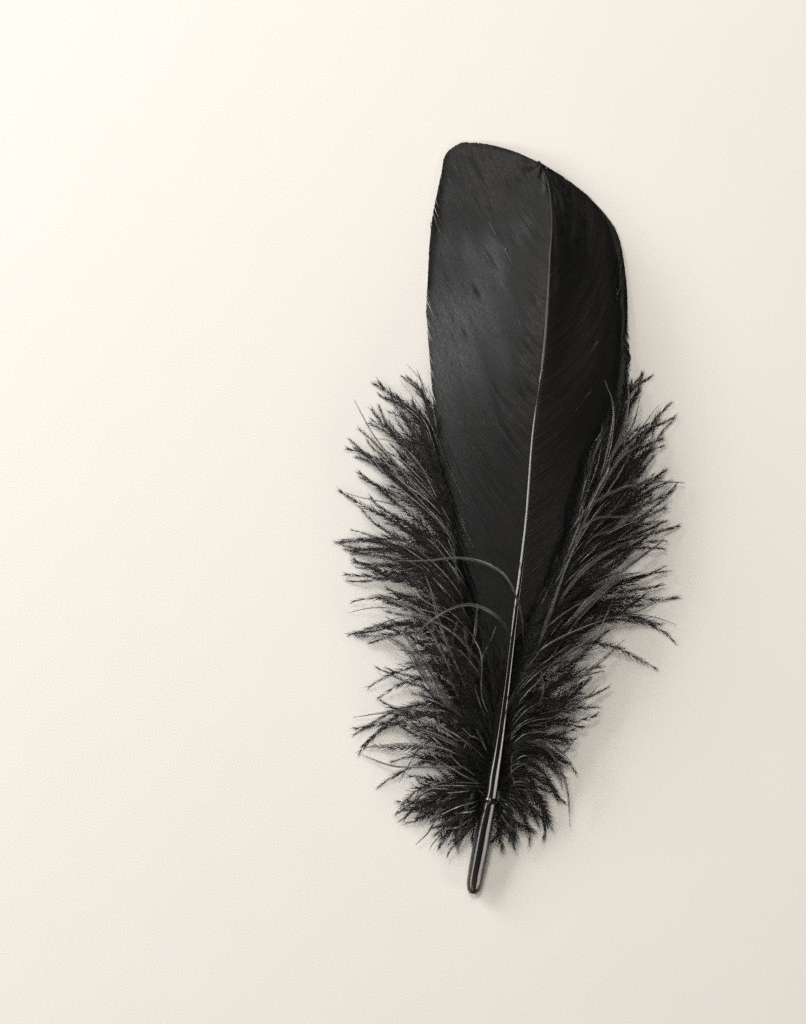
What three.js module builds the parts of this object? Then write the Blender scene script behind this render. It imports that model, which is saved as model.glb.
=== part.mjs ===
import * as THREE from "three";

// A black goose feather that lies on a table with its rounded back up.
// While it is built, the end of the quill is at y = 0, +Y runs along the shaft
// to the top of the vane, and the table is z = 0. Every number is in millimetres.

// Thickness of the webbed vanes and of the loose down.
const VANE_THICKNESS = 0.5;
const DOWN_THICKNESS = 1.5;

// Space kept between neighbouring pieces, and between the down and the vane's edge.
const GAP = 0.3;
const DOWN_CLEARANCE = 0.7;

// Where the two vanes and the down leave the shaft, measured along y.
const DOWN_START_Y = 23.5;
const LEFT_VANE_START_Y = 34.6;
const RIGHT_VANE_START_Y = 62;
const SHAFT_END_Y = 174.5;

// Middle line of the shaft seen from above, as [y, x].
const SHAFT_X = [
  [0, -8.9], [4.3, -8.3], [8, -7.6], [11.5, -6.95], [15, -6.35], [21, -5.1], [24, -4.5],
  [28, -3.95], [34.6, -2.9], [46.6, -1.3], [66.7, 1.0], [89, 3.7], [110, 5.3], [129.6, 7.8],
  [151, 9.2], [164.4, 9.7], [171, 8.7], [SHAFT_END_Y, 7.1], [181, 4.5],
];

// Height of that line over the table: the shaft is bowed, and droops at its top.
const SHAFT_Z = [
  [0, 1.7], [2, 1.78], [4.3, 1.9], [10.3, 2.6], [23, 4.7], [46.6, 9.0], [66.7, 12.2],
  [89, 14.6], [107, 15.4], [122, 15.1], [137, 13.5], [151, 10.6], [164, 6.4], [SHAFT_END_Y, 2.7],
  [181, 1.0],
];

// Radius of the shaft: a round-ended quill, then the rachis thinning to nothing.
const SHAFT_RADIUS = [
  [0, 0.9], [0.7, 1.4], [2, 1.75], [4.3, 1.88], [8, 2.0], [11.5, 2.0], [15, 1.9], [18.7, 1.74],
  [22, 1.58], [27, 1.42], [34.6, 1.18], [46.6, 0.9],
  [66.7, 0.75], [89, 0.62], [110, 0.5], [130, 0.4], [151, 0.3], [SHAFT_END_Y, 0.16],
];

// How far from the shaft the feather's back comes down to the table, on each side.
const LEFT_REACH = [
  [0, 20], [30, 27], [60, 36], [80, 40], [95, 41], [108, 39], [120, 35], [131, 29.5], [143, 26.2],
  [155, 26], [168, 24], [174, 21.5], [181, 18],
];
const RIGHT_REACH = [
  [0, 18], [30, 24], [60, 33], [90, 35], [105, 31], [118, 24], [131, 18.4], [143, 17.2],
  [156, 15.6], [163, 12.2], [169, 7.3], [174, 3.4], [181, 2],
];

// Outlines of the pieces seen from above, as [x, y], from the quill end up.
const LEFT_VANE_EDGE = [
  [-5.4, LEFT_VANE_START_Y], [-9.1, 58.8], [-12.7, 81.6], [-16.4, 98.4], [-18.7, 121.7],
  [-19.7, 148], [-18.6, 162.2], [-16.4, 172], [-15.6, 177.4], [-13.2, 179.6], [-8.2, 179.8],
  [0.7, 177.6], [6.95, 175.6],
];
const RIGHT_VANE_EDGE = [
  [2.9, RIGHT_VANE_START_Y], [12.7, 83], [14.6, 91], [20.4, 108], [25.9, 120.5], [27.7, 132],
  [27.6, 149], [25.1, 159.7], [20.2, 165.6], [13.1, 171.4], [7.25, 175.3],
];
const LEFT_DOWN_EDGE = [
  [-9.5, 21], [-26, 13], [-27, 35], [-33, 60], [-43, 80], [-43, 95], [-38.5, 117], [-27, 123],
  [-20.5, 121],
];
const RIGHT_DOWN_EDGE = [
  [-0.5, 22], [14.4, 21.5], [22, 46], [36, 70], [43, 99], [38.5, 119], [29.5, 131.5],
];

// The down starts at the shaft below the vane, then follows the foot of the vane's
// edge: that line as [x, y] beside the shaft, and how many points of the edge it takes.
const LEFT_DOWN_ROOT = [[-6.6, DOWN_START_Y], [-6.0, 32]];
const LEFT_DOWN_SHARED = 5;
const RIGHT_DOWN_ROOT = [[-2.1, DOWN_START_Y + 1], [-0.2, 40], [1.4, 54]];
const RIGHT_DOWN_SHARED = 6;

// A barb leaves the shaft low and ends higher up: how far ahead its end is, and
// how much it bows, as a share of its length.
const LEFT_LEAD = 0.6;
const RIGHT_LEAD = 0.53;
const LEFT_BOW = 0.1;
const RIGHT_BOW = 0.2;

// How the back falls from the shaft to the table: how steep it is beside the shaft,
// as a share of its mean slope. The left steepens outwards, and the right is even.
const LEFT_FALL_START = 0.25;
const RIGHT_FALL_START = 1.05;

// Facets: rings and sides of the shaft, and rows and columns of the sheets. The
// rings crowd together towards the round end of the quill.
const SHAFT_RINGS = 56;
const RING_CROWDING = 1.5;
const SHAFT_SIDES = 10;
const VANE_ROWS = 44;
const VANE_COLUMNS = 10;
const DOWN_ROWS = 26;
const DOWN_COLUMNS = 7;

const LEFT = -1;
const RIGHT = 1;

// A smooth curve through [position, value] pairs, as a function of the position.
function profile(pairs) {
  const positions = pairs.map((pair) => pair[0]);
  const values = pairs.map((pair) => pair[1]);
  const curve = new THREE.CubicInterpolant(positions, values, 1);
  return (position) => curve.evaluate(position)[0];
}

// A smooth line through [x, y] points, as a function of the share of its length.
function outline(points) {
  const curve = new THREE.CatmullRomCurve3(points.map(([x, y]) => new THREE.Vector3(x, y, 0)));
  return (share) => curve.getPointAt(share);
}

const shaftX = profile(SHAFT_X);
const shaftZ = profile(SHAFT_Z);
const shaftRadius = profile(SHAFT_RADIUS);
const reach = { [LEFT]: profile(LEFT_REACH), [RIGHT]: profile(RIGHT_REACH) };
const fallStart = { [LEFT]: LEFT_FALL_START, [RIGHT]: RIGHT_FALL_START };

// Height of the feather's back over the table at any point beside the shaft.
function backHeight(x, y, side) {
  const share = Math.min(1, Math.abs(x - shaftX(y)) / reach[side](y));
  const start = fallStart[side];
  return shaftZ(y) * (1 - start * share - (1 - start) * share * share);
}

// A closed mesh from rings of points that all have the same number of points.
function closedTube(rings) {
  const sides = rings[0].length;
  const last = (rings.length - 1) * sides;
  const middle = (ring) => {
    const sum = ring.reduce((total, point) => total.add(point), new THREE.Vector3());
    return sum.divideScalar(ring.length);
  };
  const points = [...rings.flat(), middle(rings[0]), middle(rings[rings.length - 1])];
  const faces = [];
  for (let side = 0; side < sides; side += 1) {
    const next = (side + 1) % sides;
    faces.push(points.length - 2, next, side);
    faces.push(points.length - 1, last + side, last + next);
    for (let ring = 0; ring < rings.length - 1; ring += 1) {
      const low = ring * sides;
      const high = low + sides;
      faces.push(low + side, low + next, high + side);
      faces.push(low + next, high + next, high + side);
    }
  }
  return new THREE.BufferGeometry().setFromPoints(points).setIndex(faces);
}

// The shaft: rings square to its bowed middle line, closer together at the round end.
function shaftGeometry() {
  const centre = (y) => new THREE.Vector3(shaftX(y), y, shaftZ(y));
  const rings = [];
  for (let step = 0; step <= SHAFT_RINGS; step += 1) {
    const y = SHAFT_END_Y * Math.pow(step / SHAFT_RINGS, RING_CROWDING);
    const along = centre(y + 0.5).sub(centre(y)).normalize();
    const across = along.clone().cross(new THREE.Vector3(0, 0, 1)).normalize();
    const up = across.clone().cross(along);
    const ring = [];
    for (let side = 0; side < SHAFT_SIDES; side += 1) {
      const turn = (2 * Math.PI * side) / SHAFT_SIDES;
      const point = centre(y);
      point.addScaledVector(across, -Math.cos(turn) * shaftRadius(y));
      point.addScaledVector(up, Math.sin(turn) * shaftRadius(y));
      ring.push(point);
    }
    rings.push(ring);
  }
  return closedTube(rings);
}

// A thin sheet that follows the feather's back. place(u, v) gives its points seen
// from above, with u along the feather and v from the shaft outwards.
function sheetGeometry(place, side, rows, columns, thickness) {
  const rings = [];
  for (let row = 0; row <= rows; row += 1) {
    const under = [];
    const over = [];
    for (let column = 0; column <= columns; column += 1) {
      const flat = place(row / rows, column / columns);
      const height = backHeight(flat.x, flat.y, side);
      under.push(new THREE.Vector3(flat.x, flat.y, height));
      over.unshift(new THREE.Vector3(flat.x, flat.y, height + thickness));
    }
    const ring = [...under, ...over];
    rings.push(side === RIGHT ? ring.reverse() : ring);
  }
  return closedTube(rings);
}

// The vane: each column of points lies along one barb, which is a bowed line
// from the shaft to the edge of the vane.
function vaneGeometry(side, startY, edge, lead, bow) {
  const edgeAt = outline(edge);
  const place = (u, v) => {
    const rootY = THREE.MathUtils.lerp(startY, SHAFT_END_Y, u);
    const rootX = shaftX(rootY) + side * (shaftRadius(rootY) + GAP);
    const root = new THREE.Vector3(rootX, rootY, 0);
    const tip = edgeAt(Math.pow(u, lead));
    const chord = tip.clone().sub(root);
    const outwards = new THREE.Vector3(side * chord.y, -side * chord.x, 0);
    const knee = root.clone().addScaledVector(chord, 0.5).addScaledVector(outwards, bow);
    return new THREE.QuadraticBezierCurve3(root, knee, tip).getPoint(v);
  };
  return sheetGeometry(place, side, VANE_ROWS, VANE_COLUMNS, VANE_THICKNESS);
}

// The down: a sheet between the line where it starts and the line of its tips.
function downGeometry(side, root, vaneEdge, shared, edge) {
  const beside = vaneEdge.slice(0, shared).map(([x, y]) => [x + side * DOWN_CLEARANCE, y]);
  const innerAt = outline([...root, ...beside]);
  const edgeAt = outline(edge);
  const place = (u, v) => innerAt(u).lerp(edgeAt(u), v);
  return sheetGeometry(place, side, DOWN_ROWS, DOWN_COLUMNS, DOWN_THICKNESS);
}

function piece(name, geometry, colour, roughness) {
  const material = new THREE.MeshStandardMaterial({ color: colour, roughness, metalness: 0 });
  const mesh = new THREE.Mesh(geometry, material);
  mesh.name = name;
  return mesh;
}

const feather = new THREE.Group();
feather.add(
  piece("shaft", shaftGeometry(), 0x141212, 0.3),
  piece(
    "left_vane",
    vaneGeometry(LEFT, LEFT_VANE_START_Y, LEFT_VANE_EDGE, LEFT_LEAD, LEFT_BOW),
    0x1c1c1c,
    0.55,
  ),
  piece(
    "right_vane",
    vaneGeometry(RIGHT, RIGHT_VANE_START_Y, RIGHT_VANE_EDGE, RIGHT_LEAD, RIGHT_BOW),
    0x1c1c1c,
    0.55,
  ),
  piece(
    "left_down",
    downGeometry(LEFT, LEFT_DOWN_ROOT, LEFT_VANE_EDGE, LEFT_DOWN_SHARED, LEFT_DOWN_EDGE),
    0x171717,
    0.8,
  ),
  piece(
    "right_down",
    downGeometry(RIGHT, RIGHT_DOWN_ROOT, RIGHT_VANE_EDGE, RIGHT_DOWN_SHARED, RIGHT_DOWN_EDGE),
    0x171717,
    0.8,
  ),
);

// The origin is the middle of the footprint, on the table.
const box = new THREE.Box3().setFromObject(feather);
const middle = box.getCenter(new THREE.Vector3());
feather.position.set(-middle.x, -middle.y, -box.min.z);

export default feather;
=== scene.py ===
import math
from collections import namedtuple

import bpy
import numpy as np
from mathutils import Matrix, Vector


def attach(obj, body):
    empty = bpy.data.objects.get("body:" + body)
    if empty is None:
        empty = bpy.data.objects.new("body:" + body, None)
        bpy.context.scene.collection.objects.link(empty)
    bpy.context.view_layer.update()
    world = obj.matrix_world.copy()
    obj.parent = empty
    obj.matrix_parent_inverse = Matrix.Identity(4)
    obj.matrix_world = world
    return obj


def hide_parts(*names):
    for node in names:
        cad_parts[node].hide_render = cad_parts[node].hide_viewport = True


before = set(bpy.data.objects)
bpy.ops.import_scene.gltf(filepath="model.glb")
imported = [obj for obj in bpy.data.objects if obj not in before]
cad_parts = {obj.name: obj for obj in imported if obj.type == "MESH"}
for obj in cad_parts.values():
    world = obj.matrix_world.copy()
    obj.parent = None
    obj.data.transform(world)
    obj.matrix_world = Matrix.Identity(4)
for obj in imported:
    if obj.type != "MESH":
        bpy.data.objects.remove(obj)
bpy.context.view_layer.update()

# The feather is drawn in millimetres, as the frame is: the end of the quill is at
# y = 0, +Y runs along the shaft, and the table is z = 0. MIDDLE is the point of that
# drawing that lies at the frame's origin.
MM = 0.001
MIDDLE = np.array([-0.343, 89.913, 0.0])
LEFT, RIGHT = -1, 1

# A pixel of the photograph as a place in the drawing.
PHOTO_SIZE = np.array([806.0, 1024.0])
MM_PER_PIXEL = 0.24
ZERO_PIXEL = np.array([510.0, 893.0])


def from_photo(pixels):
    """Photograph pixels, seen straight from above, as [x, y] in the drawing."""
    return (np.asarray(pixels, float) - ZERO_PIXEL) * MM_PER_PIXEL * [1, -1]


# Lines and profiles

def profile(pairs):
    """A smooth curve through (position, value) pairs, as a function of the position."""
    at, value = np.array(list(pairs), float).T
    slope = np.gradient(value, at)

    def curve(where):
        where = np.clip(where, at[0], at[-1])
        k = np.clip(np.searchsorted(at, where, side="right") - 1, 0, len(at) - 2)
        span = at[k + 1] - at[k]
        s = (where - at[k]) / span
        rise = value[k + 1] - value[k]
        bend = s * (1 - s) * ((1 - s) * (slope[k] * span - rise) - s * (slope[k + 1] * span - rise))
        return value[k] + rise * s + bend

    return curve


def line(points, samples=800):
    """A smooth line through points, as a function of the share of its length."""
    points = np.array(points, float)
    chord = np.append(0, np.cumsum(np.linalg.norm(np.diff(points, axis=0), axis=1)))
    dense = np.linspace(0, chord[-1], samples)
    path = np.stack([profile(zip(chord, column))(dense) for column in points.T], -1)
    run = np.append(0, np.cumsum(np.linalg.norm(np.diff(path, axis=0), axis=1)))
    run /= run[-1]
    return lambda share: np.stack([np.interp(share, run, column) for column in path.T], -1)


def smooth(low, high, value):
    """0 below low, 1 above high, with a soft turn at both."""
    s = np.clip((value - low) / (high - low), 0, 1)
    return s * s * (3 - 2 * s)


def unit(vectors):
    """Vectors scaled to a length of 1."""
    return vectors / np.maximum(np.linalg.norm(vectors, axis=-1, keepdims=True), 1e-9)


def frames(paths):
    """Directions along, across and out of lines of points."""
    along = unit(np.gradient(paths, axis=-2))
    across = unit(np.cross(along, [0, 0, 1]))
    return along, across, np.cross(across, along)


def mottle(rng, shape, widths):
    """Random values on a grid, smoothed over so many cells each way, with a spread of 1."""
    grid = rng.normal(size=shape)
    for axis, width in enumerate(widths):
        cells = np.arange(-3 * width, 3 * width + 1)
        kernel = np.exp(-0.5 * (cells / width) ** 2)
        grid = np.apply_along_axis(np.convolve, axis, grid, kernel, "same")
    return grid / grid.std()


# The feather's measures, which are those of the frame

SHAFT_END_Y = 174.5
shaft_x = profile([
    (0, -8.9), (4.3, -8.3), (8, -7.6), (11.5, -6.95), (15, -6.35), (21, -5.1), (24, -4.5),
    (28, -3.95), (34.6, -2.9), (46.6, -1.3), (66.7, 1.0), (89, 3.7), (110, 5.3), (129.6, 7.8),
    (151, 9.2), (164.4, 9.7), (171, 8.7), (SHAFT_END_Y, 7.1), (181, 4.5),
])
shaft_z = profile([
    (0, 1.7), (2, 1.78), (4.3, 1.9), (10.3, 2.6), (23, 4.7), (46.6, 9.0), (66.7, 12.2),
    (89, 14.6), (107, 15.4), (122, 15.1), (137, 13.5), (151, 10.6), (164, 6.4), (SHAFT_END_Y, 2.7),
    (181, 1.0),
])
shaft_radius = profile([
    (0, 0.9), (0.7, 1.4), (2, 1.75), (4.3, 1.88), (8, 2.0), (11.5, 2.0), (15, 1.9), (18.7, 1.74),
    (22, 1.58), (27, 1.42), (34.6, 1.18), (46.6, 0.9),
    (66.7, 0.75), (89, 0.62), (110, 0.5), (130, 0.4), (151, 0.3), (SHAFT_END_Y, 0.16),
])
left_reach = profile([
    (0, 20), (30, 27), (60, 36), (80, 40), (95, 41), (108, 38.7), (120, 34.7), (131, 30.3),
    (143, 27), (155, 25.8), (168, 24), (174, 21.5), (181, 18),
])
right_reach = profile([
    (0, 18), (30, 24), (60, 33), (90, 35), (105, 31), (118, 24), (131, 18.4), (143, 17.2),
    (156, 15.6), (163, 12.2), (169, 7.3), (174, 3.4), (181, 2),
])
LEFT_FALL_START = 0.25
RIGHT_FALL_START = 1.05

# The margin rounds off onto the table over this share of the height, a little further
# out than in the frame.
MARGIN_ROUND = 0.03
MARGIN_REACH = 1.05


def back_height(x, y):
    """Height of the feather's rounded back over the table."""
    aside = x - shaft_x(y)
    reach = np.where(aside < 0, left_reach(y), right_reach(y)) * MARGIN_REACH
    start = np.where(aside < 0, LEFT_FALL_START, RIGHT_FALL_START)
    share = np.abs(aside) / reach
    fall = 1 - start * share - (1 - start) * share * share
    return shaft_z(y) * 0.5 * (fall + np.sqrt(fall * fall + MARGIN_ROUND**2))


# Meshes

# Faces that meet at a wider angle than this are shaded with a sharp edge.
SHARP_EDGE = math.radians(60)


def mesh_object(name, corners, faces, places, material):
    """A mesh from points in the drawing and a list of face arrays, each of its own width."""
    mesh = bpy.data.meshes.new(name)
    loops = np.concatenate([f.ravel() for f in faces]).astype(np.int32)
    totals = np.concatenate([np.full(len(f), f.shape[1]) for f in faces]).astype(np.int32)
    mesh.vertices.add(len(corners))
    mesh.vertices.foreach_set("co", ((corners - MIDDLE) * MM).astype(np.float32).ravel())
    mesh.loops.add(len(loops))
    mesh.loops.foreach_set("vertex_index", loops)
    mesh.polygons.add(len(totals))
    starts = np.append(0, np.cumsum(totals)[:-1]).astype(np.int32)
    mesh.polygons.foreach_set("loop_start", starts)
    mesh.update(calc_edges=True)
    layer = mesh.uv_layers.new(name="OFBake")
    layer.uv.foreach_set("vector", places[loops].astype(np.float32).ravel())
    mesh.materials.append(material)
    mesh.shade_smooth()
    mesh.set_sharp_from_angle(angle=SHARP_EDGE)
    mesh.validate()
    piece = bpy.data.objects.new(name, mesh)
    bpy.context.scene.collection.objects.link(piece)
    return piece


def ring_faces(strands, rings, sides):
    """Quads round strands of rings, whose points are numbered strand, ring, side."""
    first = (np.arange(strands)[:, None, None] * rings + np.arange(rings - 1)[:, None]) * sides
    here = first + np.arange(sides)
    beside = first + (np.arange(sides) + 1) % sides
    return np.stack([here, beside, beside + sides, here + sides], -1).reshape(-1, 4)


def end_faces(strands, rings, sides):
    """The two faces that close each strand."""
    first = np.arange(strands)[:, None] * rings * sides
    around = np.arange(sides)
    return np.concatenate([first + around[::-1], first + (rings - 1) * sides + around])


def fit(piece, node):
    """Let a piece ride on the feather in the place of one of its solids."""
    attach(piece, "root")
    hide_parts(node)


# Materials

class Nodes:
    """A short way to write a material's nodes."""

    def __init__(self, name, colour, roughness, **more):
        self.material = bpy.data.materials.new(name)
        self.material.use_nodes = True
        self.tree = self.material.node_tree
        self.shader = self.tree.nodes["Principled BSDF"]
        self.shader.inputs["Base Color"].default_value = (*colour, 1)
        self.shader.inputs["Roughness"].default_value = roughness
        for socket, value in more.items():
            self.shader.inputs[socket.replace("_", " ")].default_value = value

    def add(self, kind, inputs=None, **settings):
        node = self.tree.nodes.new(kind)
        for key, value in settings.items():
            setattr(node, key, value)
        for key, value in (inputs or {}).items():
            if isinstance(value, bpy.types.NodeSocket):
                self.tree.links.new(value, node.inputs[key])
            else:
                node.inputs[key].default_value = value
        return node

    def stretched(self, source, scale, turn=0.0):
        """Coordinates scaled, and turned in their plane, before a pattern."""
        node = self.add("ShaderNodeMapping", {"Vector": source, "Scale": scale})
        node.inputs["Rotation"].default_value = (0, 0, turn)
        return node.outputs["Vector"]

    def noise(self, where, detail, scale=1.0):
        values = {"Vector": where, "Scale": scale, "Detail": detail}
        return self.add("ShaderNodeTexNoise", values).outputs["Fac"]

    def maths(self, operation, first, second):
        node = self.add("ShaderNodeMath", {0: first, 1: second}, operation=operation)
        return node.outputs["Value"]

    def range(self, value, low, high, new_low, new_high):
        values = {"Value": value, "From Min": low, "From Max": high}
        values |= {"To Min": new_low, "To Max": new_high}
        return self.add("ShaderNodeMapRange", values).outputs["Result"]

    def part(self, vector, axis):
        return self.add("ShaderNodeSeparateXYZ", {"Vector": vector}).outputs[axis]

    def grey(self, factor, dark, light):
        """A colour between two, by factor."""
        inputs = {"Factor": factor}
        for index, colour in ((6, dark), (7, light)):
            is_socket = isinstance(colour, bpy.types.NodeSocket)
            inputs[index] = colour if is_socket else (*colour, 1)
        return self.add("ShaderNodeMix", inputs, data_type="RGBA").outputs[2]

    def bump(self, height, strength, distance):
        values = {"Height": height, "Strength": strength, "Distance": distance}
        normal = self.add("ShaderNodeBump", values).outputs["Normal"]
        self.tree.links.new(normal, self.shader.inputs["Normal"])

    def to(self, socket, value):
        self.tree.links.new(value, self.shader.inputs[socket])


# How deep the fine relief of the web and of the shaft is, in metres.
RELIEF_DEPTH = 0.0001

# The web's pattern: its cells over the map for the barbs and for their barbules, and the
# part of the pattern's values that is used.
BARB_CELLS, BARBULE_CELLS = (420, 30, 1), (300, 60, 1)
BARBULE_SLANT = math.radians(50)
WEAVE = (0.15, 0.4)
WEB_BLACKS = ((0.0025,) * 3, (0.006, 0.006, 0.0063))


def vane_material():
    """Black satin: barbs along the map's V, crossed by the slant of their barbules."""
    n = Nodes("black_vane", (0.004, 0.004, 0.004), 0.42, Specular_IOR_Level=0.25)
    place = n.add("ShaderNodeTexCoord").outputs["UV"]
    along = n.noise(n.stretched(place, BARB_CELLS), 2.0)
    across = n.noise(n.stretched(place, BARBULE_CELLS, BARBULE_SLANT), 2.0)
    weave = n.maths("MULTIPLY", along, across)
    n.to("Base Color", n.grey(n.range(weave, *WEAVE, 0, 1), *WEB_BLACKS))
    n.to("Roughness", n.range(weave, *WEAVE, 0.5, 0.36))
    n.bump(weave, 0.5, RELIEF_DEPTH)
    return n.material


# The horn: its blacks, a brown at the quill's end that is a painted warm reflection, and the
# shares of the shaft's length, from there, over which that painted brown and the dullness change.
STREAK_CELLS = (40, 3, 1)
HORN_BLACKS = ((0.003, 0.003, 0.003), (0.010, 0.009, 0.008))
PAINTED_REFLECTION_BROWN = (0.035, 0.017, 0.012)
PAINTED_REFLECTION_FADES, QUILL_CLEARS, THIN_END_DULLS = (0.0, 0.05), (0.125, 0.2), (0.7, 0.75)


def shaft_material():
    """Dyed horn: glossy along the rachis, duller at its thin end and on the quill, with a painted
    brown reflection at the quill's end.
    """
    n = Nodes("black_quill", (0.006, 0.005, 0.005), 0.2, Specular_IOR_Level=0.8)
    place = n.add("ShaderNodeTexCoord").outputs["UV"]
    up = n.part(place, "Y")
    streaks = n.noise(n.stretched(place, STREAK_CELLS), 3.0)
    black = n.grey(streaks, *HORN_BLACKS)
    # The quill's end is tinted brown: a painted reflection.
    n.to("Base Color", n.grey(n.range(up, *PAINTED_REFLECTION_FADES, 1.0, 0.0), black, PAINTED_REFLECTION_BROWN))
    dull = n.range(up, *QUILL_CLEARS, 0.1, 0.0)
    dull = n.maths("ADD", dull, n.range(up, *THIN_END_DULLS, 0.0, 0.4))
    n.to("Roughness", n.maths("ADD", dull, n.range(streaks, 0.3, 0.7, 0.08, 0.16)))
    n.bump(streaks, 0.06, RELIEF_DEPTH)
    return n.material


# The down's pattern: its cells over the map, the values used, how far roughness follows
# them, and the share of a strand over which it gets its light colour, which in the grey
# material is painted sheen.
STRAND_CELLS, STRAND_VALUES = (5, 70, 1), (0.35, 0.7)
STRAND_ROUGHNESS = 0.08
LIGHTENS = (0.05, 0.4)


def down_material(name, dark, light, roughness, specular):
    """Fine fibres, strand by strand a little greyer or blacker and lighter away from the root; in the
    grey material this lighter colour is painted sheen.
    """
    n = Nodes(name, dark, roughness, Specular_IOR_Level=specular)
    place = n.add("ShaderNodeTexCoord").outputs["UV"]
    strands = n.noise(n.stretched(place, STRAND_CELLS), 2.0)
    away = n.range(n.part(place, "X"), *LIGHTENS, 0.0, 1.0)
    lit = n.maths("MULTIPLY", n.range(strands, *STRAND_VALUES, 0, 1), away)
    # In the grey material this lighter colour is painted sheen.
    n.to("Base Color", n.grey(lit, dark, light))
    rough, smoother = roughness + STRAND_ROUGHNESS, roughness - STRAND_ROUGHNESS
    n.to("Roughness", n.range(strands, *STRAND_VALUES, rough, smoother))
    return n.material


# The shaft

SHAFT_RINGS, SHAFT_SIDES = 320, 40
UMBILICUS_Y = 22.6

# The stretches of y over which the shaft's flats and grooves change.
QUILL_ENDS = (20, 26)
LEFT_FLAT_FADES, LEFT_FLAT_RETURNS, LEFT_FLAT_ENDS = (30, 42), (58, 66), (125, 140)
LEFT_FLAT_WIDENS, RIGHT_FLAT_NARROWS, RIGHT_FLAT_ENDS = (60, 78), (25, 60), (58, 66)
UNDER_GROOVE_STARTS, TOP_GROOVE_STARTS = (30, 60), (118, 140)

# The ways that the flats face, from the right hand up and over, and their depth as a
# share of the radius.
LEFT_FLAT_WAY, RIGHT_FLAT_WAY = math.radians(124), math.radians(58)
FLAT_DEPTH = 0.9


def make_shaft(material):
    """The round-ended quill, which turns into the rachis at a small rim."""
    rings, sides = SHAFT_RINGS, SHAFT_SIDES
    y = SHAFT_END_Y * np.linspace(0, 1, rings) ** 1.4
    centre = np.stack([shaft_x(y), y, shaft_z(y)], -1)
    _, across, up = frames(centre)
    turn = 2 * np.pi * np.arange(sides) / sides
    rows = y[:, None]

    def away(angle):
        return (turn - angle + np.pi) % (2 * np.pi) - np.pi

    def groove(angle, half, depth, starts):
        return depth * smooth(*starts, rows) * np.exp(-((away(angle) / half) ** 2))

    def flat(angle, half, depth):
        """How much a flat of that half angle takes off a round."""
        cut = 1 - np.cos(half) / np.cos(np.clip(away(angle), -1.2, 1.2))
        return depth * np.clip(cut, 0, None)

    # The quill is slightly squared; the rachis keeps the left flat, and its end is grooved.
    on_quill = 1 - smooth(*QUILL_ENDS, rows)
    left_half = 0.24 + 0.4 * smooth(*LEFT_FLAT_WIDENS, rows)
    missing = smooth(*LEFT_FLAT_FADES, rows) * (1 - smooth(*LEFT_FLAT_RETURNS, rows))
    left_depth = FLAT_DEPTH * (1 - missing) * (1 - smooth(*LEFT_FLAT_ENDS, rows))
    left_flat = flat(LEFT_FLAT_WAY + 0.06 * on_quill, left_half, left_depth)
    right_half = 0.38 - 0.18 * smooth(*RIGHT_FLAT_NARROWS, rows)
    right_depth = FLAT_DEPTH * (1 - smooth(*RIGHT_FLAT_ENDS, rows))
    right_flat = flat(RIGHT_FLAT_WAY - 0.04 * on_quill, right_half, right_depth)
    under = groove(1.5 * np.pi, 0.45, 0.3, UNDER_GROOVE_STARTS)
    top = groove(0.5 * np.pi, 0.5, 0.22, TOP_GROOVE_STARTS)
    cuts = under + top + (left_flat + right_flat) * smooth(0, 1.2, rows)

    # Where the down starts, there is a small rim with a notch above it.
    above = rows - UMBILICUS_Y
    rim = 0.15 * np.exp(-((above / 0.28) ** 2))
    notch = 0.1 * smooth(0, 0.5, above) * (1 - smooth(1.5, 6, above))
    radius = shaft_radius(rows) * (1 - cuts + rim - notch)
    round_by = np.cos(turn)[:, None] * across[:, None] + np.sin(turn)[:, None] * up[:, None]
    corners = (centre[:, None] + radius[..., None] * round_by).reshape(-1, 3)
    places = np.stack(np.broadcast_arrays(turn / (2 * np.pi), rows / SHAFT_END_Y), -1)
    faces = [ring_faces(1, rings, sides)[:, ::-1], end_faces(1, rings, sides)[:, ::-1]]
    piece = mesh_object("feather_shaft", corners, faces, places.reshape(-1, 2), material)
    fit(piece, "shaft")


# The vanes

class Vane:
    """One webbed side: where its barbs start and end, and how they run."""

    def __init__(self, name, node, side, start_y, edge, lead, bow, barbs):
        self.name, self.node, self.side = name, node, side
        self.start_y, self.edge_at = start_y, line(edge)
        self.lead, self.bow, self.barbs = lead, bow, barbs

    def place(self, u, v):
        """The point a share v along the barb that leaves the shaft a share u up the vane."""
        root_y = self.start_y + (SHAFT_END_Y - self.start_y) * u
        root_x = shaft_x(root_y) + self.side * 0.6 * shaft_radius(root_y)
        root = np.stack([root_x, root_y], -1)
        tip = self.edge_at(np.clip(u, 0, 1) ** self.lead)
        chord = tip - root
        outwards = self.side * np.stack([chord[..., 1], -chord[..., 0]], -1)
        knee = root + chord / 2 + self.bow * outwards
        v = v[..., None]
        return (1 - v) ** 2 * root + 2 * v * (1 - v) * knee + v**2 * tip


LEFT_EDGE = [
    (-5.4, 34.6), (-9.1, 58.8), (-12.7, 81.6), (-16.4, 98.4), (-18.7, 121.7), (-19.7, 148),
    (-18.6, 162.2), (-16.6, 172), (-15.2, 177.5), (-12.2, 179.8), (-6.6, 179.8), (0.2, 178.2),
    (8.0, 174.7),
]
RIGHT_EDGE = [
    (2.9, 62), (12.7, 83), (14.6, 91), (20.4, 108), (25.9, 120.5), (27.7, 132), (27.6, 149),
    (25.1, 159.7), (20.2, 165.6), (13.1, 171.4), (6.3, 175.5),
]
LEFT_VANE = Vane("left_web", "left_vane", LEFT, 34.6, LEFT_EDGE, lead=0.6, bow=0.1, barbs=270)
RIGHT_VANE = Vane("right_web", "right_vane", RIGHT, 62, RIGHT_EDGE, lead=0.4, bow=0.26, barbs=220)

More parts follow.
